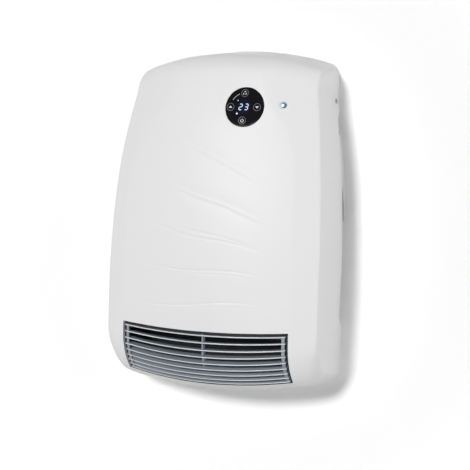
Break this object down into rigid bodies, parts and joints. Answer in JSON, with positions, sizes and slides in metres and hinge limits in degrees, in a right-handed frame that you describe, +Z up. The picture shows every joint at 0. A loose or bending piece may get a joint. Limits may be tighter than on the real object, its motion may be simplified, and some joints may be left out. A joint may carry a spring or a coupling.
{
  "type": "bathroom wall fan heater",
  "caption": "Wall-hung bathroom fan heater: tall bowed white cover with a round touch display near the top and a curved slatted hot-air outlet under the front.",
  "frame": {"origin": "centre of the wall-screw pattern, on the wall plane behind the wall plate", "axes": "+Z up the wall, -Y out of the wall towards the front of the heater, +X to the right as seen from the front"},
  "size_m": [0.266, 0.0969, 0.39],
  "materials": {
    "cover_white": "moulded gloss",
    "housing_white": "moulded satin",
    "plate_steel": "zinc plated",
    "filter_mesh": "fine mesh",
    "grille_grey": "moulded satin",
    "duct_grey": "dark coated sheet",
    "zinc_steel": "zinc plated sheet",
    "impeller_alu": "bare sheet",
    "shaft_steel": "ground",
    "bronze": "sintered",
    "black_rubber": "soft",
    "laminated_steel": "stacked sheets",
    "copper_winding": "varnished wire",
    "screw_steel": "zinc plated",
    "fin_alu": "bare fins",
    "black_plastic": "moulded satin",
    "terminal_brass": "stamped",
    "board_green": "solder mask",
    "relay_blue": "moulded satin",
    "capacitor_yellow": "moulded satin",
    "lens_black": "polished",
    "lamp_clear": "clear, lit from behind"
  },
  "bodies": {
    "heater": {"front_shell": "cover_white", "rear_housing": "housing_white", "wall_plate": "plate_steel", "intake_screens": "filter_mesh", "outlet_grille": "grille_grey", "scroll_wall": "duct_grey", "tongue_guide": "duct_grey", "duct_cheeks": "duct_grey", "fan_end_plate_left": "zinc_steel", "fan_end_plate_right": "zinc_steel", "pivot_bush": "bronze", "bush_mount": "black_rubber", "motor_core": "laminated_steel", "motor_coil": "copper_winding", "motor_brackets": "zinc_steel", "motor_bearings": "bronze", "motor_screws": "screw_steel", "element_fins": "fin_alu", "element_frame": "black_plastic", "element_terminals": "terminal_brass", "thermal_cutout": "black_plastic", "control_board": "board_green", "relays": "relay_blue", "power_supply": "black_plastic", "suppression_capacitor": "capacitor_yellow", "terminal_block": "housing_white", "cable_grommet": "black_rubber", "cord_clamp": "housing_white", "touch_lens": "lens_black", "display_board": "board_green", "digit_module": "black_plastic", "key_springs": "shaft_steel", "display_holder": "housing_white", "indicator_lens": "lamp_clear", "cover_screws": "screw_steel", "side_screws": "screw_steel", "board_screws": "screw_steel", "end_plate_screws": "screw_steel"},
    "rotor": {"fan_impeller": "impeller_alu", "fan_pivot": "shaft_steel", "motor_rotor": "laminated_steel", "motor_shaft": "shaft_steel"}
  },
  "joints": [
    {"name": "fan_spin", "type": "hinge", "parent": "heater", "child": "rotor", "pos_m": [0, -0.044, -0.085], "axis": [1, 0, 0], "continuous": true}
  ]
}
